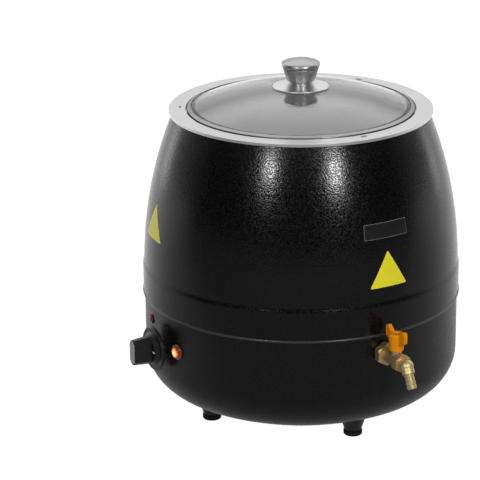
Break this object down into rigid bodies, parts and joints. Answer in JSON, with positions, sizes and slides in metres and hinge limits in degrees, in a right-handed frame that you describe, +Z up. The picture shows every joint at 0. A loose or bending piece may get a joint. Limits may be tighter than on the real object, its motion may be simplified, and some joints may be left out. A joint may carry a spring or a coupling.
{
  "type": "soup kettle",
  "caption": "Electric soup kettle: barrel-shaped black housing with a water bath, lift-out steel pot, domed glass lid, dial thermostat, pilot lamps and a brass drain tap.",
  "frame": {"origin": "on the kettle's vertical axis, at the level of the table that the feet stand on", "axes": "+Z up; -Y towards the front seen in the picture; +X to its right. Measured anticlockwise from +X as seen from above, the tap is at 300 and the thermostat at 210 degrees"},
  "size_m": [0.3664, 0.4027, 0.4039],
  "materials": {
    "powder_coat": "fine-textured satin black powder coat",
    "satin_steel": "satin stainless steel",
    "knob_steel": "turned and brushed stainless steel",
    "zinc_steel": "zinc-plated or plain steel",
    "black_plastic": "moulded black plastic",
    "dial_insert": "brushed grey end plate",
    "thermostat_case": "moulded switch housing",
    "rubber": "black rubber",
    "brass": "turned brass, slightly dulled",
    "orange_plastic": "orange moulded plastic",
    "ptfe": "white PTFE",
    "ball_steel": "polished valve ball",
    "heater_metal": "cast heat plate and sheathed element",
    "copper": "copper tube and bulb",
    "terminal": "ivory terminal block",
    "amber_lens": "lit amber lens",
    "red_lens": "unlit dark red lens",
    "lid_glass": "clear tempered glass"
  },
  "bodies": {
    "housing": {"upper_casing": "powder_coat", "lower_casing": "powder_coat", "bottom_cover": "zinc_steel", "cover_screws": "zinc_steel", "water_bath": "satin_steel", "tie_studs": "zinc_steel", "tie_nuts": "zinc_steel", "foot_stems": "black_plastic", "foot_pads": "rubber", "foot_screws": "zinc_steel", "drain_stub": "zinc_steel", "tap_gasket": "rubber", "tap_nut": "brass", "tap_body": "brass", "tap_seats": "ptfe", "hose_tail": "brass", "heater_plate": "heater_metal", "heating_element": "heater_metal", "heater_clamp": "zinc_steel", "heater_nut": "zinc_steel", "thermostat_body": "thermostat_case", "thermostat_bracket": "zinc_steel", "thermostat_nut": "zinc_steel", "capillary": "copper", "sensor_bulb": "copper", "bulb_clip": "zinc_steel", "thermal_cutout": "black_plastic", "terminal_block": "terminal", "earth_stud": "brass", "cable_gland": "black_plastic", "gland_nut": "black_plastic", "amber_lamp_body": "black_plastic", "amber_lens": "amber_lens", "red_lamp_body": "black_plastic", "red_lens": "red_lens", "lamp_clips": "zinc_steel"},
    "pot": {"inner_pot": "satin_steel"},
    "lid": {"lid_glass": "lid_glass", "lid_band": "knob_steel", "glass_washer": "rubber", "escutcheon": "knob_steel", "knob_neck": "knob_steel", "knob_cone": "knob_steel", "knob_cap": "knob_steel", "lid_screw": "zinc_steel", "lid_nut": "zinc_steel"},
    "control_knob": {"spindle": "zinc_steel", "dial_knob": "black_plastic", "knob_insert": "dial_insert"},
    "tap_valve": {"tap_ball": "ball_steel", "tap_stem": "brass", "tap_handle": "orange_plastic", "handle_screw": "zinc_steel"}
  },
  "joints": [
    {"name": "pot_lift", "type": "slide", "parent": "housing", "child": "pot", "axis": [0, 0, 1], "range_m": [0, 0.26]},
    {"name": "lid_lift", "type": "slide", "parent": "pot", "child": "lid", "axis": [0, 0, 1], "range_m": [0, 0.12]},
    {"name": "dial_turn", "type": "hinge", "parent": "housing", "child": "control_knob", "pos_m": [-0.16454, -0.095, 0.0985], "axis": [-0.866, -0.5, 0], "range_deg": [-140, 140]},
    {"name": "tap_turn", "type": "hinge", "parent": "housing", "child": "tap_valve", "pos_m": [0.1015, -0.1758, 0.119], "axis": [0, 0, 1], "range_deg": [0, 90]}
  ]
}
